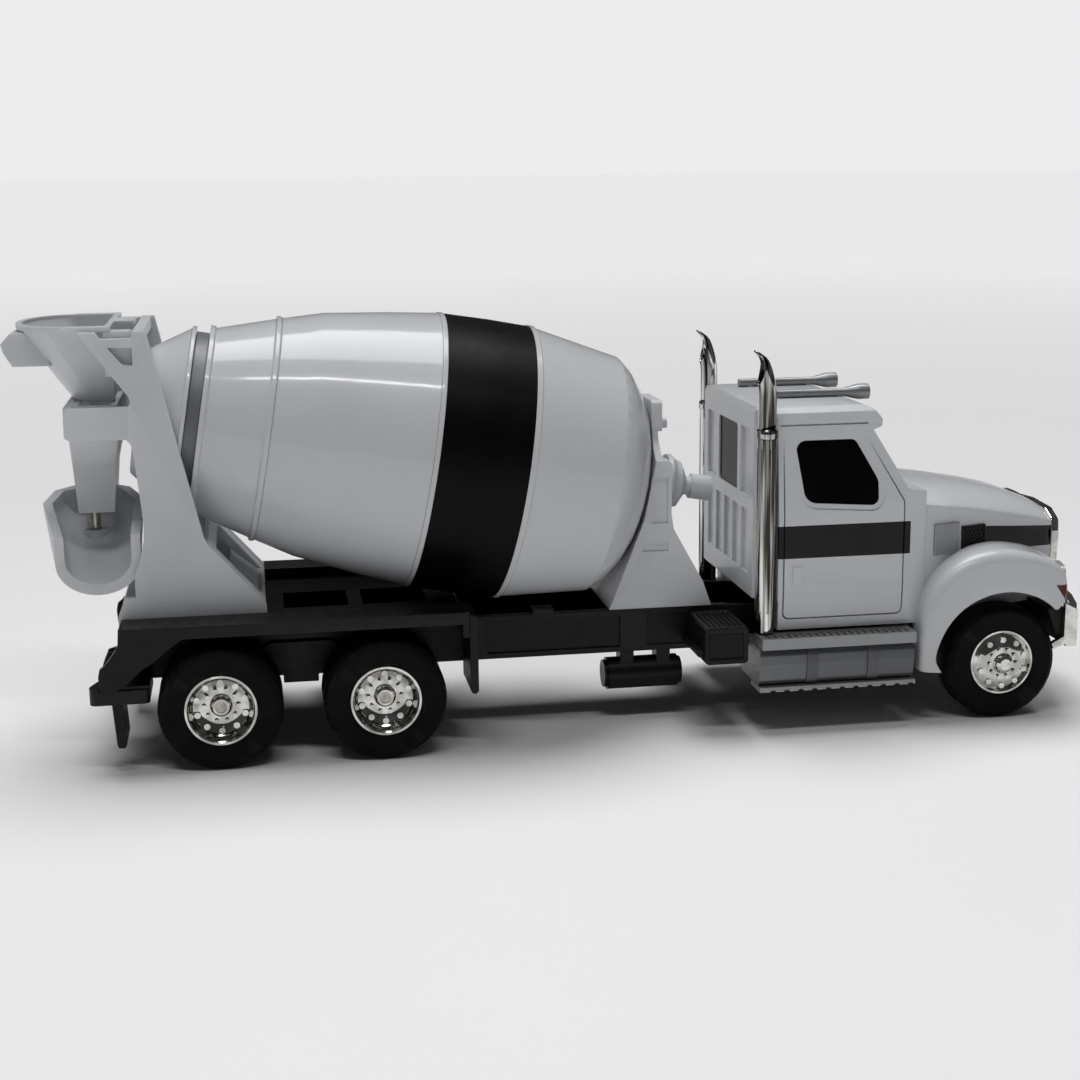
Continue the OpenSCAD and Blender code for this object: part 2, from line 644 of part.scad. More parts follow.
module hopper() at_truck() color(white) difference() {
    union() {
        hopper_volume(0, 0);
        // rim flanges that meet the side plates
        both_sides() box(-36, -23.6, 18, plate_in - 0.05, 115.7, 116.8);
        both_sides() box(-25.4, -18.4, 18, plate_in - 0.05, 104, 115.6);
        // handle bar behind the rim
        side_slab(-13, 13) polygon([[-40, 106], [-49.8, 106], [tail_x + 0.6, 109.6],
            [tail_x, 112], [-50, 114.6], [-44, 115]]);
        box(-25.4, -18.4, -6, 6, 114.8, 116.8);
    }
    hopper_volume(1.6, 0.3);
    on_drum_axis() translate([0, 0, -32]) cylinder(h = 14, r = 12);
    on_drum_axis() translate([0, 0, -22]) cylinder(h = 30, r1 = 17, r2 = 40);
}

module spout_slice(z, x0, x1, w, in) translate([0, 0, z]) linear_extrude(height = 0.2)
    offset(delta = -in) polygon([[x0, -w], [x1, -w], [x1, w], [x0, w]]);

module spout_volume(in, up) {
    hull() {
        spout_slice(96 + up, -34.55, -23.2, 21.8, in);
        spout_slice(87.7, -34.55, -23.4, 20, in);
    }
    hull() {
        spout_slice(87.7, -36, -23.4, 20, in);
        spout_slice(78.4, -36.7, -25.2, 7.6, in);
    }
    hull() {
        spout_slice(78.4, -36.7, -25.2, 7.6, in);
        spout_slice(65.3 - up, -35.9, -26.4, 7.2, in);
    }
}

module downspout() at_truck() color(white) difference() {
    union() {
        difference() {
            spout_volume(0, 0);
            spout_volume(1.5, 0.3);
        }
        // rib and boss that hold the pin
        box(-35.8, -26.6, -0.8, 0.8, 65.3, 80);
        translate([pin_x, 0, 65.3]) cylinder(h = 13, r = 3);
    }
    translate([pin_x, 0, 65]) cylinder(h = 11, r = pin_d / 2);
}

module chute_pin() at_truck() color(steel) translate([pin_x, 0, 0]) {
    translate([0, 0, 53]) cylinder(h = 23, r = pin_d / 2);
    translate([0, 0, 53]) cylinder(h = 1.3, r = 2.8);
}

// trough section: half width w, round bottom at z0, open top at z1
module trough_slice(u, w, z0, z1) translate([0, -u, 0]) rotate([90, 0, 0])
    linear_extrude(height = 0.1) intersection() {
        union() {
            translate([0, z0 + w * 0.8]) scale([1, 0.8]) circle(r = w, $fn = 40);
            translate([-w, z0 + w * 0.8]) square([2 * w, 20]);
        }
        translate([-w, z0]) square([2 * w, z1 - z0]);
    }

// outside of the trough: [distance out from the pin, half width, bottom, rim]
trough_out = [[-13.3, 3.4, 62.6, 70], [-9, 10.2, 59.4, 69.2], [0, 13.5, 56.2, 67.4],
    [26, 11, 46.7, 62.5]];

module trough(wall, floor_t, up, ahead) hull() for (i = [0:3]) let (c = trough_out[i])
    trough_slice(i == 0 ? c[0] + wall : i == 3 ? c[0] + ahead : c[0] + wall * 0.3, c[1] - wall,
        c[2] + floor_t, c[3] + up);

module chute() at_truck() color(white) translate([pin_x, 0, 0])
    rotate([0, 0, chute_rest - chute_swing]) difference() {
        union() {
            difference() {
                trough(0, 0, 0, 0);
                trough(2.5, 2.6, 6, 0.6);
            }
            translate([0, 0, 54.8]) cylinder(h = 4.8, r = 4.2);
        }
        translate([0, 0, 50]) cylinder(h = 12, r = pin_d / 2 + play);
    }

// ---------- drum ----------

// outer line of the drum: [distance forward along the axis, radius]
rear_line = [[-19.4, 17], [-7.7, 24.7], [-7.5, 25.4], [-6.4, 25.4], [-6.4, 22.6], [-2.8, 22.6],
    [-2.8, 26.2], [-1.5, 26.2], [-1.2, 25.7], [14.2, 30.4], [14.5, 31.3], [15.7, 31.3],
    [16, 30.9], [27, 34], [44, 36.7], [58, drum_r - 0.4], [58.3, drum_r - 0.1],
    [59.6, drum_r - 0.1]];
band_line = [[59.6, drum_r - 0.3], [72, drum_r - 0.1], [83.8, drum_r - 0.3]];
front_line = [[83.8, drum_r], [85.2, drum_r], [85.6, drum_r - 0.5],
    [109.6, 34], [110.2, 33.9], [113.6, 31.3], [117, 27.1], [119.6, 22.4], [121.6, 17],
    [122.8, 11], [123.3, 5.6]];

function as_ring(line, t) = concat([for (p = line) [p[1], p[0]]],
    [for (i = [len(line) - 1:-1:0]) [line[i][1] - t, line[i][0]]]);

module drum_shell(line, t) on_drum_axis() rotate_extrude($fn = 96) polygon(as_ring(line, t));

module drum_rear_shell() at_truck() color(white) on_drum_axis() rotate_extrude($fn = 96)
    polygon(concat([for (p = rear_line) [p[1], p[0]]],
        [[drum_r - 1.8, 59.6], [34.9, 44], [32.2, 27], [29, 15], [24, -1], [20.8, -7.4],
            [15.2, -19.4]]));

module drum_track_ring() at_truck() color(grey) on_drum_axis() rotate_extrude($fn = 96)
    polygon([[22.6, -6.3], [24, -6.3], [24, -2.9], [22.6, -2.9]]);

module drum_band_shell() at_truck() color(black) drum_shell(band_line, drum_wall);

module drum_front_shell() at_truck() color(white) on_drum_axis() union() {
    rotate_extrude($fn = 96) polygon(concat([for (p = front_line) [p[1], p[0]]],
        [[4.6, 123.3], [4.6, 132.4], [0, 132.4], [0, 121.4], [10, 121.2], [16, 119.6],
            [21.4, 117.6], [25.6, 115.4], [29.6, 112.2], [32, 109], [drum_r - 2.3, 86],
            [drum_r - 1.8, 83.8]]));
}

// ---------- wheels ----------

// dual tyre: two treads with a groove between them
module rear_tyre() rotate_extrude($fn = 96) polygon([[9.7, 18.6], [14.6, 18.6], [15.9, 19.6],
    [tyre_r, 21.2], [tyre_r, 25.8], [15.9, 27.2], [14.4, 27.7], [14.4, 28.3], [15.9, 28.8],
    [tyre_r, 30.2], [tyre_r, 35.2], [15.9, 36.8], [14.6, 37.7], [10.6, 37.7], [9.7, 37.2]]);

module front_tyre() rotate_extrude($fn = 96) polygon([[9.5, 26.2], [14.6, 25.8], [15.9, 26.6],
    [tyre_r, 28], [tyre_r, 32.8], [15.9, 34.2], [14.6, 35.4], [10.4, 35.4], [9.5, 34.8]]);

module tread_cuts(y0, y1, n) for (i = [0:n - 1]) rotate([0, 0, i * 360 / n])
    translate([tyre_r - 0.7, -0.35, y0]) cube([2, 0.7, y1 - y0]);

// deep dished rim for the dual wheels
module rear_rim() difference() {
    union() {
        rotate_extrude($fn = 96) polygon([[1.6, 20], [9.7, 20], [9.7, 37.1], [9.5, 37.4],
            [8.9, 37.4], [8.5, 36.9], [8.2, 35.4], [7.4, 33.6], [5.6, 32.6], [3, 32.4],
            [2.6, 32.8], [2.6, 34], [2.2, 34.3], [1.6, 34.3]]);
        for (i = [0:9]) rotate([0, 0, i * 36]) translate([4.3, 0, 32]) cylinder(h = 1.5, r = 0.55, $fn = 20);
        for (i = [0:9]) rotate([0, 0, i * 36 + 18]) translate([6.6, 0, 32.6])
            cylinder(h = 1.3, r = 0.85, $fn = 20);
    }
    translate([0, 0, 19]) cylinder(h = 17, r = axle_d / 2, $fn = 64);
}

// bowl shaped front rim with a hub cap
module front_rim() difference() {
    union() {
        rotate_extrude($fn = 96) polygon([[0, 26.4], [9.5, 26.4], [9.5, 34.7], [9.2, 35.1],
            [8.7, 35.1], [8.2, 34.4], [6.6, 35.3], [5.2, 35.8], [3, 36.1], [2.6, 36.4],
            [2.4, 37.4], [1.6, 37.9], [0, 37.9]]);
        for (i = [0:9]) rotate([0, 0, i * 36]) translate([4.1, 0, 35.4])
            cylinder(h = 1.4, r = 0.55, $fn = 20);
        for (i = [0:9]) rotate([0, 0, i * 36 + 18]) translate([6.7, 0, 34.6])
            cylinder(h = 1.2, r = 0.8, $fn = 20);
    }
    translate([0, 0, 25]) cylinder(h = 9.2, r = axle_d / 2, $fn = 64);
}

// stands a wheel drawn on +Z on the right side and its twin on the left
module wheel_pair(x) both_sides() translate([x, 0, tyre_r]) rotate([-90, 0, 0]) children();

module tyre_with_tread(rear) difference() {
    if (rear) rear_tyre(); else front_tyre();
    if (rear) {
        tread_cuts(18, 20.6, 30);
        tread_cuts(35.6, 39, 30);
    } else {
        tread_cuts(25.2, 27.6, 30);
        tread_cuts(33.2, 36.2, 30);
    }
}

module rear_tyres(x) at_truck() color(black) wheel_pair(x) tyre_with_tread(true);

module rear_rims(x) at_truck() color(chrome) wheel_pair(x) rear_rim();

module wheel_axle(x, half) at_truck() color(steel) cross_rod(x, tyre_r, axle_d / 2, -half, half);

module front_tyres() at_truck() color(black) wheel_pair(front_x) tyre_with_tread(false);

module front_rims() at_truck() color(chrome) wheel_pair(front_x) front_rim();

chassis_frame();
rear_deck();
rear_step();
tow_hitch();
rear_mud_flaps();
middle_mud_flaps();
rear_suspension();
front_axle_beam();
battery_boxes();
air_tank();
air_tank_bracket();
chassis_screws();
cab_shell();
window_insert();
hood();
front_fenders();
hood_vents();
side_plates();
grille_surround();
grille_bars();
headlights();
marker_lenses();
front_bumper();
roof_horns();
exhaust_pipes();
exhaust_shields();
fuel_tanks();
tank_straps();
tank_steps();
front_pedestal();
gearbox();
drive_motor();
rear_pedestal();
hopper();
downspout();
chute_pin();
chute();
drum_rear_shell();
drum_track_ring();
drum_band_shell();
drum_front_shell();
front_tyres();
front_rims();
wheel_axle(front_x, 33);  // front_axle
rear_tyres(0);  // rear_tyres_1
rear_rims(0);  // rear_rims_1
wheel_axle(0, 34);  // rear_axle_1
rear_tyres(tandem);  // rear_tyres_2
rear_rims(tandem);  // rear_rims_2
wheel_axle(tandem, 34);  // rear_axle_2
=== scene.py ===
"""Looks of the toy cement mixer truck: paints, plastics, chrome and finely shaped shells.

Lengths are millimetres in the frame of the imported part, and mm() turns them into metres. Shells are
drawn from the rearmost axle, see REAR_AXLE_X. The stage and the lights are placed in metres."""

import math

import bmesh
import bpy
from mathutils import Matrix, Vector


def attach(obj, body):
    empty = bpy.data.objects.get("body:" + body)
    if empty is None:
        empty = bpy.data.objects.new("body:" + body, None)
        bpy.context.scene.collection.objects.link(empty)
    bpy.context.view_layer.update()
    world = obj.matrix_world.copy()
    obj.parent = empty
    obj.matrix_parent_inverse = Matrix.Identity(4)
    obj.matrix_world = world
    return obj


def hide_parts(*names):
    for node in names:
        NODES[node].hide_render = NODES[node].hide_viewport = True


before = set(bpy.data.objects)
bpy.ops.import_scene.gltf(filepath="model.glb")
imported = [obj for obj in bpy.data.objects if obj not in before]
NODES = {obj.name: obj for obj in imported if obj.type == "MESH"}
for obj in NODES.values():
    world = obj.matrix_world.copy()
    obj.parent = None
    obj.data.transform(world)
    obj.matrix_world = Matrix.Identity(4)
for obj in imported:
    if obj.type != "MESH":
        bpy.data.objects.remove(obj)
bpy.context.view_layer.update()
MM = 0.001


def mm(*v):
    return Vector([c * MM for c in v])


# ---------- materials ----------

# pointiness of a surface, from nearly flat to a sharp outer edge
EDGE_POINTINESS = (0.52, 0.62)
# the two shades of the painted stripes
INK = ((0.0015, 0.0015, 0.002), (0.004, 0.004, 0.005))
# scale of the wave texture that flutes a lamp lens
LENS_FLUTES = 260


class Mat:
    """A Principled material whose colour, roughness and bump vary with procedural noise."""

    def __init__(self, name, **sockets):
        self.m = bpy.data.materials.new(name)
        self.m.use_nodes = True
        self.t = self.m.node_tree
        self.p = self.t.nodes["Principled BSDF"]
        for key, value in sockets.items():
            self.p.inputs[key.replace("_", " ")].default_value = value
        self.coord = self.t.nodes.new("ShaderNodeTexCoord").outputs["Object"]

    def new(self, kind, **props):
        n = self.t.nodes.new(kind)
        for key, value in props.items():
            setattr(n, key, value)
        return n

    def link(self, a, b):
        self.t.links.new(a, b)

    def noise(self, size, detail=3.0, rough=0.55, stretch=(1, 1, 1)):
        """Noise whose features are about that many millimetres across."""
        m = self.new("ShaderNodeMapping")
        m.inputs["Scale"].default_value = stretch
        self.link(self.coord, m.inputs["Vector"])
        n = self.new("ShaderNodeTexNoise")
        n.inputs["Scale"].default_value = 1 / (size * MM)
        n.inputs["Detail"].default_value = detail
        n.inputs["Roughness"].default_value = rough
        self.link(m.outputs["Vector"], n.inputs["Vector"])
        return n.outputs["Fac"]

    def remap(self, fac, low, high, start=0.3, end=0.7):
        """Takes the values from start to end onto those from low to high."""
        r = self.new("ShaderNodeMapRange")
        limits = {"From Min": start, "From Max": end, "To Min": low, "To Max": high}
        for key, value in limits.items():
            r.inputs[key].default_value = value
        self.link(fac, r.inputs["Value"])
        return r.outputs["Result"]

    def colours(self, fac, a, b):
        """Blends two plain colours."""
        m = self.new("ShaderNodeMix", data_type="RGBA")
        m.inputs["A"].default_value = (*a, 1)
        m.inputs["B"].default_value = (*b, 1)
        self.link(fac, m.inputs["Factor"])
        return m.outputs["Result"]

    def mixed(self, fac, a, b):
        """Blends two colour outputs."""
        m = self.new("ShaderNodeMix", data_type="RGBA")
        self.link(a, m.inputs["A"])
        self.link(b, m.inputs["B"])
        self.link(fac, m.inputs["Factor"])
        return m.outputs["Result"]

    def tint_edges(self, colour, edge, amount):
        """Sharp outer edges, found by pointiness, take a lighter or darker colour than the faces."""
        g = self.new("ShaderNodeNewGeometry").outputs["Pointiness"]
        fac = self.remap(g, 0, amount, *EDGE_POINTINESS)
        e = self.new("ShaderNodeRGB")
        e.outputs[0].default_value = (*edge, 1)
        return self.mixed(fac, colour, e.outputs[0])

    def inside(self, half_spaces):
        """1 where the point, taken to the left side of the truck, is within every half space."""
        sides = self.new("ShaderNodeVectorMath", operation="ABSOLUTE")
        self.link(self.coord, sides.inputs[0])
        mask = None
        for normal, limit in half_spaces:
            d = self.new("ShaderNodeVectorMath", operation="DOT_PRODUCT")
            d.inputs[1].default_value = normal
            self.link(sides.outputs[0], d.inputs[0])
            c = self.new("ShaderNodeMath", operation="LESS_THAN")
            c.inputs[1].default_value = limit * MM
            self.link(d.outputs["Value"], c.inputs[0])
            if mask is None:
                mask = c.outputs[0]
            else:
                both = self.new("ShaderNodeMath", operation="MULTIPLY")
                self.link(mask, both.inputs[0])
                self.link(c.outputs[0], both.inputs[1])
                mask = both.outputs[0]
        return mask

    def bump(self, *layers):
        """Bump layers, each (height, distance in millimetres, strength)."""
        last = None
        for height, distance, strength in layers:
            b = self.new("ShaderNodeBump")
            b.inputs["Distance"].default_value = distance * MM
            b.inputs["Strength"].default_value = strength
            self.link(height, b.inputs["Height"])
            if last:
                self.link(last, b.inputs["Normal"])
            last = b.outputs["Normal"]
        self.link(last, self.p.inputs["Normal"])

    def finish(self, colour, rough):
        self.link(colour, self.p.inputs["Base Color"])
        self.link(rough, self.p.inputs["Roughness"])
        return self.m


def paint(name, base, stripe=None, rough=(0.16, 0.26), coat=0.4):
    """Sprayed gloss paint with a faint orange peel.

    A stripe is a list of half spaces, each a normal and a limit in millimetres. Together they bound
    a black band, the same on both sides of the truck."""
    m = Mat(name, Coat_Weight=coat, Coat_Roughness=0.06, Specular_IOR_Level=0.2)
    shade = tuple(c * 0.955 for c in base)
    colour = m.colours(m.remap(m.noise(22), 0, 1), base, shade)
    colour = m.tint_edges(colour, tuple(min(1, c * 1.08) for c in base), 0.5)
    if stripe:
        colour = m.mixed(m.inside(stripe), colour, m.colours(m.noise(6), *INK))
    m.bump((m.noise(1.6, 2), 0.012, 0.35), (m.noise(14, 1), 0.05, 0.25))
    return m.finish(colour, m.remap(m.noise(5), *rough))


def milky(name):
    """Natural white plastic that lets a little light through, with a moulded satin skin."""
    m = Mat(name, Subsurface_Weight=0.22, Subsurface_Scale=0.004, Specular_IOR_Level=0.45)
    m.p.inputs["Subsurface Radius"].default_value = (1.0, 0.95, 0.9)
    colour = m.colours(m.remap(m.noise(18), 0, 1), (0.62, 0.635, 0.66), (0.57, 0.585, 0.61))
    colour = m.tint_edges(colour, (0.70, 0.71, 0.73), 0.6)
    m.bump((m.noise(0.5, 2), 0.012, 0.5), (m.noise(9, 1), 0.06, 0.3))
    return m.finish(colour, m.remap(m.noise(4), 0.30, 0.44))


def black_plastic(name, base=0.004, rough=(0.30, 0.42), edge=0.02, shine=0.2):
    m = Mat(name, Specular_IOR_Level=shine)
    colour = m.colours(m.remap(m.noise(7), 0, 1), (base,) * 3, (base * 1.5,) * 3)
    colour = m.tint_edges(colour, (edge,) * 3, 0.5)
    m.bump((m.noise(0.45, 2), 0.012, 0.5), (m.noise(10.5, 1), 0.05, 0.2))
    return m.finish(colour, m.remap(m.noise(3), *rough))


def rubber(name):
    m = Mat(name, Specular_IOR_Level=0.12)
    colour = m.colours(m.remap(m.noise(4), 0, 1), (0.003, 0.003, 0.0035), (0.007, 0.007, 0.007))
    colour = m.tint_edges(colour, (0.014, 0.014, 0.013), 0.7)
    m.bump((m.noise(0.4, 4), 0.03, 0.6))
    return m.finish(colour, m.remap(m.noise(2), 0.62, 0.82))


def plated(name, tint, dark, size, stretch=(1, 1, 1)):
    """Vacuum chrome on plastic: mirror bright and slightly wavy, its colour blotched between the tint
    and a dark tone, in streaks where the noise is stretched: partly cloudy plating, partly painted
    reflections of dark surroundings.
    """
    m = Mat(name, Metallic=1.0)
    # blotches between the tint and the dark tone: partly cloudy plating, partly painted reflections
    cloud_and_painted_reflection = m.remap(m.noise(size, 2, stretch=stretch), 0, 1, 0.42, 0.58)
    colour = m.colours(cloud_and_painted_reflection, tint, dark)
    m.bump((m.noise(3, 1), 0.03, 0.35), (m.noise(0.35, 2), 0.004, 0.35))
    return m.finish(colour, m.remap(m.noise(2.2), 0.04, 0.12))


def metal_paint(name, base, rough=(0.30, 0.42), metallic=0.55):
    """Silver-grey paint with fine flake."""
    m = Mat(name, Metallic=metallic, Specular_IOR_Level=0.5)
    dark, bright = (tuple(c * k for c in base) for k in (0.8, 1.25))
    flake = m.colours(m.noise(0.12, 1), dark, bright)
    colour = m.tint_edges(flake, tuple(min(1, c * 1.9) for c in base), 0.8)
    m.bump((m.noise(0.9, 2), 0.015, 0.35), (m.noise(7, 1), 0.05, 0.25))
    return m.finish(colour, m.remap(m.noise(3), *rough))


def turned_steel(name):
    m = Mat(name, Metallic=1.0)
    colour = m.colours(m.remap(m.noise(1.2), 0, 1), (0.55, 0.52, 0.47), (0.34, 0.31, 0.27))
    m.bump((m.noise(0.25, 3), 0.01, 0.5))
    return m.finish(colour, m.remap(m.noise(0.8), 0.22, 0.42))


def lens(name, base, clear):
    """Moulded lamp plastic with fine flutes."""
    m = Mat(name, Transmission_Weight=clear, IOR=1.46, Coat_Weight=0.5, Coat_Roughness=0.05)
    colour = m.colours(m.remap(m.noise(3), 0, 1), base, tuple(c * 0.8 for c in base))
    wave = m.new("ShaderNodeTexWave", bands_direction="Z")
    wave.inputs["Scale"].default_value = LENS_FLUTES
    m.link(m.coord, wave.inputs["Vector"])
    m.bump((wave.outputs["Fac"], 0.05, 0.4), (m.noise(1), 0.01, 0.3))
    return m.finish(colour, m.remap(m.noise(2), 0.08, 0.18))


def dark_glass(name):
    m = Mat(name, Specular_IOR_Level=0.04)
    colour = m.colours(m.noise(9), (0.001, 0.001, 0.0015), (0.003, 0.003, 0.004))
    m.bump((m.noise(12, 1), 0.05, 0.25))
    return m.finish(colour, m.remap(m.noise(6), 0.10, 0.20))


WHITE = (0.64, 0.652, 0.67)
# half spaces that bound the stripes: normal, and how far it reaches along the normal
CAB_STRIPE = (((1, 0, 0), 92.6), ((-1, 0, 0), -54), ((0, -1, 0), -31.2),
              ((0, 0, 1), 58.2), ((0, 0, -1), -49))
HOOD_STRIPE = (((-1, 0, 0), -116.4), ((0, -1, 0), -14.5),
               ((0.095, 0, 1), 65.3), ((-0.05, 0, -1), -53.1))
MATS = {
    "gloss": paint("gloss_white_paint", WHITE),
    "cab": paint("cab_paint", WHITE, CAB_STRIPE, coat=0.1),
    "hood": paint("hood_paint", WHITE, HOOD_STRIPE, coat=0.1),
    "milky": milky("milky_white_plastic"),
    "black": black_plastic("satin_black_plastic"),
    "band": black_plastic("band_black_paint", 0.0015, (0.34, 0.46), 0.005, shine=0.1),
    "glass": dark_glass("window_black"),
    "chrome": plated("bright_chrome", (0.72, 0.71, 0.68), (0.46, 0.45, 0.42), 4.5),
    # painted reflections: the long dark and bright streaks along the exhaust stacks stand in for a
    # dark surrounding reflected in the chrome
    "stack": plated("painted_reflection_chrome", (0.82, 0.80, 0.77), (0.045, 0.04, 0.035), 1.9, (1, 1, 0.03)),
    "silver": metal_paint("silver_grey_paint", (0.26, 0.265, 0.27)),
    # painted shade: the fuel tanks and their straps take a darker copy of the silver paint, for the
    # shade they sit in low on the truck
    "tank": metal_paint("shaded_silver_paint", (0.105, 0.108, 0.112)),
    "steel": turned_steel("turned_steel"),
    "grey": metal_paint("grey_ring_paint", (0.16, 0.165, 0.175), (0.4, 0.5), 0.2),
    "lamp": lens("lamp_lens", (0.80, 0.83, 0.85), 0.5),
    "amber": lens("amber_lens", (0.28, 0.055, 0.02), 0.1),
    "tyre": rubber("tyre_rubber"),
}

# node: (material, edge rounding)
FINISH = {
    "chassis_frame": ("black", 0.3), "rear_deck": ("black", 0.35), "rear_step": ("black", 0.3),
    "tow_hitch": ("black", 0.25), "rear_mud_flaps": ("black", 0.3),
    "middle_mud_flaps": ("black", 0.3), "rear_suspension": ("black", 0.25),
    "front_axle_beam": ("black", 0.25), "battery_boxes": ("black", 0.35),
    "air_tank": ("black", 0.4), "air_tank_bracket": ("black", 0.25),
    "chassis_screws": ("steel", 0.1), "cab_shell": ("cab", 0.45), "window_insert": ("glass", 0.1),
    "hood": ("hood", 0.6), "front_fenders": ("gloss", 0.9), "hood_vents": ("black", 0.08),
    "side_plates": ("silver", 0.25), "grille_surround": ("chrome", 0.5),
    "grille_bars": ("black", 0.1), "headlights": ("lamp", 0.3), "marker_lenses": ("amber", 0.15),
    "front_bumper": ("chrome", 0.35), "roof_horns": ("silver", 0.25),
    "exhaust_pipes": ("stack", 0.15), "exhaust_shields": ("stack", 0.15),
    "fuel_tanks": ("tank", 0.4), "tank_straps": ("tank", 0.15), "tank_steps": ("silver", 0.15),
    "front_pedestal": ("milky", 0.4), "gearbox": ("milky", 0.3), "drive_motor": ("milky", 0.35),
    "rear_pedestal": ("milky", 0.4), "hopper": ("milky", 0.4), "downspout": ("milky", 0.4),
    "chute_pin": ("steel", 0.2), "chute": ("milky", 0.45), "drum_rear_shell": ("gloss", 0.25),
    "drum_track_ring": ("grey", 0.15), "drum_band_shell": ("band", 0.1),
    "drum_front_shell": ("gloss", 0.25), "front_tyres": ("tyre", 0.12),
    "front_rims": ("chrome", 0.12), "front_axle": ("steel", 0.15), "rear_tyres_1": ("tyre", 0.12),
    "rear_rims_1": ("chrome", 0.12), "rear_axle_1": ("steel", 0.15),
    "rear_tyres_2": ("tyre", 0.12), "rear_rims_2": ("chrome", 0.12),
    "rear_axle_2": ("steel", 0.15),
}


# vertices closer than this become one, and edges sharper than this are rounded
WELD = 0.004
SHARP_DEG = 28


def dress(obj, material, rounding):
    """Gives a frame node its material, round edges and smooth shading."""
    mesh = obj.data
    if "custom_normal" in mesh.attributes:
        mesh.attributes.remove(mesh.attributes["custom_normal"])
    mesh.shade_smooth()
    mesh.materials.clear()
    mesh.materials.append(MATS[material])
    weld = obj.modifiers.new("weld", "WELD")
    weld.merge_threshold = WELD * MM
    bevel = obj.modifiers.new("round", "BEVEL")
    bevel.width = rounding * MM
    bevel.segments = 3
    bevel.limit_method = "ANGLE"
    bevel.angle_limit = math.radians(SHARP_DEG)
    bevel.miter_outer = "MITER_ARC"
    bevel.harden_normals = True
    bevel.use_clamp_overlap = True


for node, (material, rounding) in FINISH.items():
    dress(NODES[node], material, rounding)


# ---------- shaped shells ----------

# the rearmost axle, from which the shells are drawn, in the frame
REAR_AXLE_X = -98.75


def spline(points, steps):
    """Catmull-Rom curve through tuples of numbers, with that many steps between two of them."""
    out = []
    last = len(points) - 1
    for i in range(last):
        a, b, c, d = (points[max(0, min(last, i + k))] for k in (-1, 0, 1, 2))
        for j in range(steps):
            t = j / steps
            out.append(tuple(
                0.5 * (2 * q + (r - p) * t + (2 * p - 5 * q + 4 * r - s) * t * t
                       + (3 * q - p - 3 * r + s) * t ** 3)
                for p, q, r, s in zip(a, b, c, d)))
    return out + [tuple(points[-1])]


def piece(name, mesh, body, slot, material, *replaced):
    """Adds a mesh piece that rides a body, and hides the frame nodes it stands in for."""
    obj = bpy.data.objects.new(name, mesh)
    bpy.context.scene.collection.objects.link(obj)
    mesh.materials.append(MATS[material])
    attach(obj, body)
    if replaced:
        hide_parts(*replaced)
    return obj


def mesh_of(bm, name):
    """Turns the faces outward and makes a mesh of them."""
    bmesh.ops.recalc_face_normals(bm, faces=bm.faces)
    mesh = bpy.data.meshes.new(name)
    bm.to_mesh(mesh)
    bm.free()
    return mesh


def edge_bevel(obj, width):
    edge = obj.modifiers.new("edge", "BEVEL")
    edge.width = width * MM
    edge.segments = 2
    return edge


def loft(name, sections, closed=False, caps=(0, -1), mirror=False):
    """A smooth mesh through sections of equal length, with faces over the ones in caps."""
    bm = bmesh.new()
    for side in ((1, -1) if mirror else (1,)):
        rows = [[bm.verts.new(mm(x + REAR_AXLE_X, y * side, z)) for x, y, z in row]
                for row in sections]
        n = len(rows[0])
        for a, b in zip(rows, rows[1:]):
            for i in range(n if closed else n - 1):
                k = (i + 1) % n
                bm.faces.new((a[i], a[k], b[k], b[i]))
        for i in caps:
            bm.faces.new(rows[i])
    mesh = mesh_of(bm, name)
    mesh.shade_smooth()
    return mesh


def ease(t):
    """0 to 1 with level ends."""
    t = max(0.0, min(1.0, t))
    return t * t * (3 - 2 * t)


# hood stations: x, half width, shoulder height, top height
HOOD = [(196.7, 30.0, 62.6, 66.4), (204, 28.1, 61.4, 65.6), (212, 25.9, 60.0, 64.6),
        (220, 23.7, 58.4, 63.3), (228, 21.6, 56.7, 61.6), (234.5, 19.4, 55.1, 59.4),
        (238.6, 18.0, 53.9, 57.6), (240.2, 17.2, 53.2, 56.6)]
HOOD_LOW = 30.4
HOOD_WALL = 1.3
# height about which the nose shrinks as it rolls in, and its steps: further forward, scale
NOSE_MIDDLE = 44
NOSE_ROLL = ((0.35, 0.99), (0.45, 0.955))
# the flat side of the hood: rear end, half width there, and how fast it narrows
SIDE_X, SIDE_Y = 196.7, 30.0
SIDE_TAPER = (30 - 17.4) / (240.3 - 196.7)


def hood_section(x, w, shoulder, top):
    """Section from the right bottom edge, over the top, to the left bottom edge."""
    half = []
    steps, crown = 14, 3.1
    dip, dip_y, dip_width, dip_length = 1.9, 24.5, 4.2, 8.5
    for k in range(steps + 1):
        t = k / steps
        y = w * t * 0.985
        z = top - (top - shoulder) * t ** crown
        # the panel falls away into the cowl beside the raised middle
        z -= dip * math.exp(-(((y - dip_y) / dip_width) ** 2)) * (1 - ease((x - 197) / dip_length))
        half.append((x, y, z))
    # rolled crease, then a shallow hollow and the flat side: inward, down from the shoulder
    half += [(x, w * 0.998, shoulder - 0.45)]
    half += [(x, w - inward, shoulder - down) for inward, down in
             ((0, 1.1), (0.18, 2.2), (0.34, 3.6), (0.18, 5.2), (0, 6.6))]
    half += [(x, w, z) for z in (44, 38, 34, HOOD_LOW)]
    return [(a, -b, c) for a, b, c in reversed(half[1:])] + half


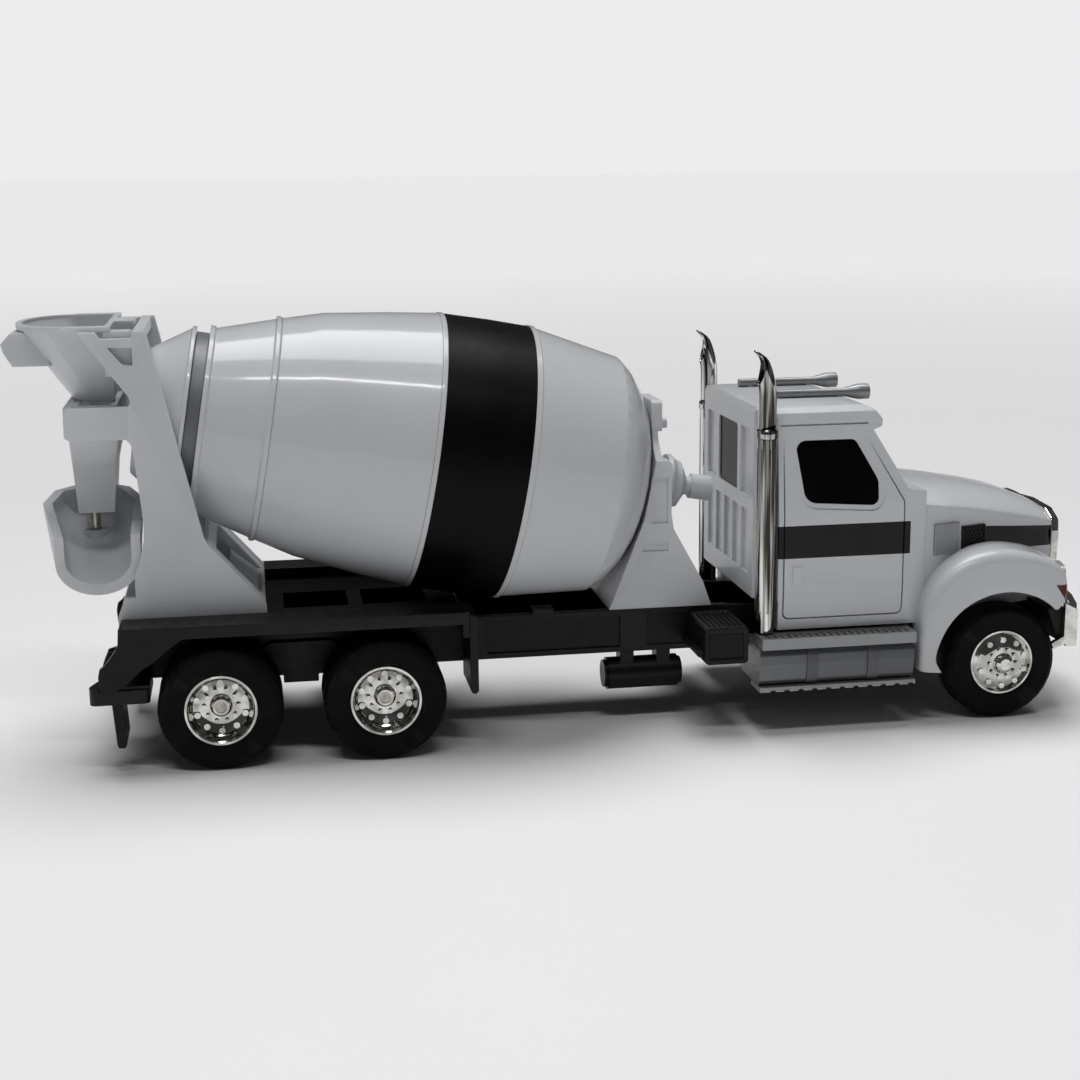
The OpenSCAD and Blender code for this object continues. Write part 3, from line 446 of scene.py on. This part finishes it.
def build_hood():
    rows = [hood_section(*station) for station in spline(HOOD, 5)]
    # the nose rolls in behind the grille frame
    for ahead, scale in NOSE_ROLL:
        rows.append([(x + ahead, y * scale, NOSE_MIDDLE + (z - NOSE_MIDDLE) * scale)
                     for x, y, z in hood_section(*HOOD[-1])])
    mesh = loft("hood_skin", rows, caps=(-1,))
    obj = piece("hood_skin", mesh, "chassis", "gloss_white", "hood", "hood")
    thick = obj.modifiers.new("thick", "SOLIDIFY")
    thick.thickness = HOOD_WALL * MM
    thick.offset = -1
    edge = edge_bevel(obj, 0.25)
    edge.limit_method = "ANGLE"
    edge.angle_limit = math.radians(50)


# fender stations from the rear foot over the wheel to the front tip:
# outer x and z, arch x and z, shoulder radius, forward bow at the inner side
FENDER = [(193.6, 15.8, 199.9, 15.3, 2.2, 0), (193.6, 19.5, 198.1, 19.3, 2.4, 0),
          (193.7, 26, 199.7, 25.2, 2.8, 0), (194.6, 33.4, 203.1, 30.6, 3.2, 0),
          (197.6, 39.8, 207.6, 34.4, 3.4, 0), (202.4, 45, 212.3, 36.5, 3.5, 0),
          (209.5, 48.5, 216.7, 37.4, 3.5, 0), (218, 49.5, 221.2, 37.35, 3.4, 0),
          (226, 48.3, 225.2, 36.5, 3.0, 0.6), (232, 45.9, 228.4, 35.2, 2.4, 1.8),
          (235.6, 42.6, 230.9, 33.7, 1.5, 3.0), (236.4, 38.4, 232.2, 32.6, 0.9, 3.4),
          (235.8, 34.8, 232.8, 32.0, 0.7, 3.2), (234.4, 32.2, 233.2, 31.75, 0.5, 2.6)]
FENDER_OUT = 38.0
FENDER_WALL = 1.5
# the forward bow is full inside this Y and fades out over this width
BOW_INNER, BOW_WIDTH = 22, 16.5


def hood_half_width(x):
    return SIDE_Y - (x - SIDE_X) * SIDE_TAPER


def fender_section(ox, oz, ax, az, r, bow):
    """Closed section: from the hood over the top, round the shoulder, down and back inside."""
    dx, dz = ax - ox, az - oz
    depth = math.hypot(dx, dz)
    dx, dz = dx / depth, dz / depth
    inner = max(16.0, min(29.6, hood_half_width(ox) - 0.8))
    r = min(r, depth * 0.45)
    wall = min(FENDER_WALL, depth * 0.3)
    camber = 0.1
    flat_end = depth - 0.5

    def at(inward, down):
        """A point that far in from the outer side and down from the outer line."""
        y = FENDER_OUT - inward
        lean = bow * (1 - ease((y - BOW_INNER) / BOW_WIDTH))
        return (ox + dx * down + lean, y, oz + dz * down)

    width = FENDER_OUT - inner
    top = [at(width - (width - r) * k / 6, camber * (k / 6) ** 2) for k in range(6)]
    shoulder = [at(r - r * math.sin(a), camber + r * (1 - math.cos(a)))
                for a in (math.pi / 2 * k / 7 for k in range(8))]
    face = [at(0, camber + r + (flat_end - r) * k / 3) for k in (1, 2)]
    lip = [at(0.02, flat_end), at(0.25, depth - 0.12), at(0.7, depth), at(1.2, depth - 0.1),
           at(wall, flat_end)]
    back = [at(wall, wall + (flat_end - wall) * k / 3) for k in (2, 1)]
    under = [at(wall + (width - wall) * k / 4, wall) for k in range(5)]
    return top + shoulder + face + lip + back + under


def build_fenders():
    sections = [fender_section(*row) for row in spline(FENDER, 5)]
    mesh = loft("fender_skins", sections, closed=True, mirror=True)
    piece("fender_skins", mesh, "chassis", "gloss_white", "gloss", "front_fenders")


# how far the hood skin stands out from the side of the frame's hood
SKIN_PROUD = 0.33
# one vent: lower rear corner, size and frame width, then the cells of its mesh: pitch, radius,
# distance from the corner, margin at the far end, rows, and how close the rows stand
VENT_X, VENT_Z, VENT_WIDE, VENT_HIGH = 208.6, 47.4, 8.2, 7.4
VENT_RIM = 0.35
CELL_PITCH, CELL_RADIUS, CELL_EDGE, CELL_MARGIN = 1.28, 0.52, 0.95, 0.8
CELL_ROWS, CELL_NEST = 6, 0.87
# back and front of its layers, out from the skin
BACKING, CELL_LAYER, RIM_LAYER = (-0.55, 0.12), (0.0, 0.42), (0.0, 0.5)


def on_hood_side(along, up, out, side):
    """A point of the vent on the tapering side of the hood, out from the skin."""
    turn = math.atan(SIDE_TAPER)
    c, n = math.cos(turn), math.sin(turn)
    out += SKIN_PROUD
    x = VENT_X + along * c + out * n
    y = hood_half_width(VENT_X) - along * n + out * c
    return mm(x + REAR_AXLE_X, side * y, up)


def build_vents():
    """Honeycomb mesh behind a thin frame, one each side of the hood."""
    bm = bmesh.new()

    def prism(outline, side, back, front):
        """A prism on an outline of (along, up) points."""
        a, b = ([bm.verts.new(on_hood_side(u, v, out, side)) for u, v in outline]
                for out in (back, front))
        n = len(outline)
        bm.faces.new(a)
        bm.faces.new(b)
        for i in range(n):
            bm.faces.new((a[i], a[(i + 1) % n], b[(i + 1) % n], b[i]))

    def bar(u, v, wide, high, side, back, front):
        prism([(u, v), (u + wide, v), (u + wide, v + high), (u, v + high)], side, back, front)

    for side in (-1, 1):
        bar(0, VENT_Z, VENT_WIDE, VENT_HIGH, side, *BACKING)
        for row in range(CELL_ROWS):
            for column in range(CELL_ROWS):
                u = CELL_EDGE + column * CELL_PITCH + (row % 2) * CELL_PITCH / 2
                v = VENT_Z + CELL_EDGE + row * CELL_PITCH * CELL_NEST
                if u > VENT_WIDE - CELL_MARGIN:
                    continue
                turns = [k * math.pi / 3 for k in range(6)]
                prism([(u + CELL_RADIUS * math.sin(a), v + CELL_RADIUS * math.cos(a))
                       for a in turns], side, *CELL_LAYER)
        for u, v, wide, high in ((0, VENT_Z, VENT_WIDE, VENT_RIM),
                                 (0, VENT_Z + VENT_HIGH - VENT_RIM, VENT_WIDE, VENT_RIM),
                                 (0, VENT_Z, VENT_RIM, VENT_HIGH),
                                 (VENT_WIDE - VENT_RIM, VENT_Z, VENT_RIM, VENT_HIGH)):
            bar(u, v, wide, high, side, *RIM_LAYER)
    mesh = mesh_of(bm, "vent_mesh")
    obj = piece("vent_mesh", mesh, "chassis", "satin_black", "black", "hood_vents")
    edge_bevel(obj, 0.06)


def build_ornament():
    """Small plated spear on the nose of the hood, fattest near its middle."""
    length, slope, turns = 6.2, 0.46, 14
    rows = []
    for t in (0.0, 0.06, 0.2, 0.45, 0.7, 0.88, 1.0):
        x = 233.2 + length * t
        r = 0.12 + 0.95 * math.sin(math.pi * min(0.97, 0.12 + 0.8 * t)) ** 0.6
        z = 59.3 - slope * (x - 234.5)
        rows.append([(x, 0.8 * r * math.cos(a), z + 0.75 * r * math.sin(a))
                     for a in (2 * math.pi * k / turns for k in range(turns))])
    mesh = loft("nose_ornament", rows, closed=True)
    piece("nose_ornament", mesh, "chassis", "chrome", "chrome")


# the upper stack: where it stands, its straight length and the radius it bends at, its outer and
# inner radius, and the points of a ring
STACK_X, STACK_Y, STACK_Z = 149.9, 31, 82.6
STACK_STRAIGHT, STACK_BEND = 10.4, 24.0
STACK_OUT, STACK_IN = 2.5, 1.95
STACK_TURNS = 28
# length at the front, how much shorter the slash leaves the back, and the tip that curls back
STACK_LENGTH, STACK_SLASH, STACK_TIP, STACK_CURL = 23.6, 8.6, 3.4, 2.3
# clamp ring at the foot: radius, height
CLAMP = ((2.6, 0.0), (2.95, 0.15), (3.0, 0.4), (3.0, 2.2), (2.9, 2.45), (2.55, 2.6))


def stack_point(angle, s, r):
    """A point round the tube, a length s along its bent axis and r out from it."""
    bend = max(0.0, s - STACK_STRAIGHT) / STACK_BEND
    lean = STACK_BEND * (1 - math.cos(bend))
    rise = min(s, STACK_STRAIGHT) + STACK_BEND * math.sin(bend)
    t = max(0.0, s - (STACK_LENGTH - STACK_TIP)) / STACK_TIP
    x = -lean + r * math.cos(angle) * math.cos(bend) - STACK_CURL * t * t
    z = STACK_Z + rise + r * math.cos(angle) * math.sin(bend)
    return (STACK_X + x, STACK_Y + r * math.sin(angle), z)


def stack_ring(r, share=None, height=None):
    """A ring at a share of each line's own length, or level at a height."""
    row = []
    for k in range(STACK_TURNS):
        angle = 2 * math.pi * k / STACK_TURNS
        end = STACK_LENGTH - STACK_SLASH * (1 - math.cos(angle)) / 2
        row.append(stack_point(angle, end * share if height is None else height, r))
    return row


def build_stacks():
    """Upper exhaust stacks: a clamp, a gentle bend and a slash cut mouth that opens to the rear."""
    rows = [stack_ring(r, height=height) for r, height in CLAMP]
    rows += [stack_ring(STACK_OUT, 0.2 + 0.8 * k / 20) for k in range(21)]
    rows += [stack_ring((STACK_OUT + STACK_IN) / 2, 1.004)]
    rows += [stack_ring(STACK_IN, 1 - 0.6 * k / 10) for k in range(11)]
    mesh = loft("stack_tips", rows, closed=True, mirror=True)
    piece("stack_tips", mesh, "chassis", "chrome", "stack", "exhaust_pipes")


build_hood()
build_fenders()
build_stacks()
build_vents()
build_ornament()


# ---------- stage, lights, camera ----------


# metres
FLOOR_RADIUS = 30
# the floor glows more with distance, so that it runs into the backdrop
GLOW_REACH = (0.45, 2.2)
GLOW_FAR = 0.17
STUDIO_DIM, STUDIO_PALE = (0.93, 0.96, 1.0, 1), (0.84, 0.84, 0.845, 1)
STUDIO_STRENGTH = 0.06


def stage_floor():
    mesh = bpy.data.meshes.new("floor")
    bm = bmesh.new()
    bmesh.ops.create_circle(bm, cap_ends=True, segments=96, radius=FLOOR_RADIUS)
    bm.to_mesh(mesh)
    bm.free()
    floor = bpy.data.objects.new("floor", mesh)
    bpy.context.scene.collection.objects.link(floor)
    m = Mat("pale_floor", Specular_IOR_Level=0.0)
    colour = m.colours(m.noise(120), (0.93, 0.93, 0.93), (0.90, 0.90, 0.905))
    far = m.new("ShaderNodeVectorMath", operation="LENGTH")
    m.link(m.coord, far.inputs[0])
    glow = m.remap(far.outputs["Value"], 0, GLOW_FAR, *GLOW_REACH)
    m.link(glow, m.p.inputs["Emission Strength"])
    m.p.inputs["Emission Color"].default_value = (1, 1, 1, 1)
    mesh.materials.append(m.finish(colour, m.remap(m.noise(40), 0.7, 0.85)))


def light(name, kind, energy, at, aim, **props):
    data = bpy.data.lights.new(name, kind)
    data.energy = energy
    for key, value in props.items():
        setattr(data, key, value)
    obj = bpy.data.objects.new(name, data)
    obj.location = at
    obj.rotation_euler = (Vector(aim) - Vector(at)).to_track_quat("-Z", "Y").to_euler()
    bpy.context.scene.collection.objects.link(obj)


def lights():
    bpy.context.scene.view_settings.view_transform = "Standard"
    # a dim world lights the truck, and the camera sees a pale one behind it
    world = bpy.data.worlds.new("studio")
    bpy.context.scene.world = world
    world.use_nodes = True
    tree = world.node_tree
    dim = tree.nodes["Background"]
    dim.inputs["Color"].default_value = STUDIO_DIM
    dim.inputs["Strength"].default_value = STUDIO_STRENGTH
    pale = tree.nodes.new("ShaderNodeBackground")
    pale.inputs["Color"].default_value = STUDIO_PALE
    path = tree.nodes.new("ShaderNodeLightPath")
    mix = tree.nodes.new("ShaderNodeMixShader")
    tree.links.new(path.outputs["Is Camera Ray"], mix.inputs[0])
    tree.links.new(dim.outputs[0], mix.inputs[1])
    tree.links.new(pale.outputs[0], mix.inputs[2])
    tree.links.new(mix.outputs[0], tree.nodes["World Output"].inputs[0])
    light("overhead", "SUN", 2.1, (0, 0.25, 1), (0, 0, 0), angle=math.radians(40))
    light("strip", "AREA", 1.2, (-0.1, -0.35, 0.75), (-0.02, 0, 0.08), shape="RECTANGLE",
          size=0.5, size_y=0.03)


# the camera stands where the toy was seen from; angles are in radians
CAMERA_AT = (-88.02, -490.34, 156.00)
YAW, PITCH, ROLL = 0.164, 0.209, -0.011
FOCAL, SENSOR = 58.75, 36


def camera():
    level = Vector((math.sin(YAW), math.cos(YAW), 0))
    ahead = level * math.cos(PITCH) - Vector((0, 0, math.sin(PITCH)))
    right = Vector((math.cos(YAW), -math.sin(YAW), 0))
    up = right.cross(ahead)
    r = math.cos(ROLL) * right + math.sin(ROLL) * up
    u = -math.sin(ROLL) * right + math.cos(ROLL) * up
    data = bpy.data.cameras.new("camera")
    data.lens = FOCAL
    data.sensor_width = SENSOR
    data.clip_start, data.clip_end = 0.01, 100
    cam = bpy.data.objects.new("camera", data)
    turn = Matrix((r, u, -ahead)).transposed()
    cam.matrix_world = Matrix.Translation(mm(*CAMERA_AT)) @ turn.to_4x4()
    bpy.context.scene.collection.objects.link(cam)
    bpy.context.scene.camera = cam


stage_floor()
lights()
camera()
bpy.context.view_layer.update()
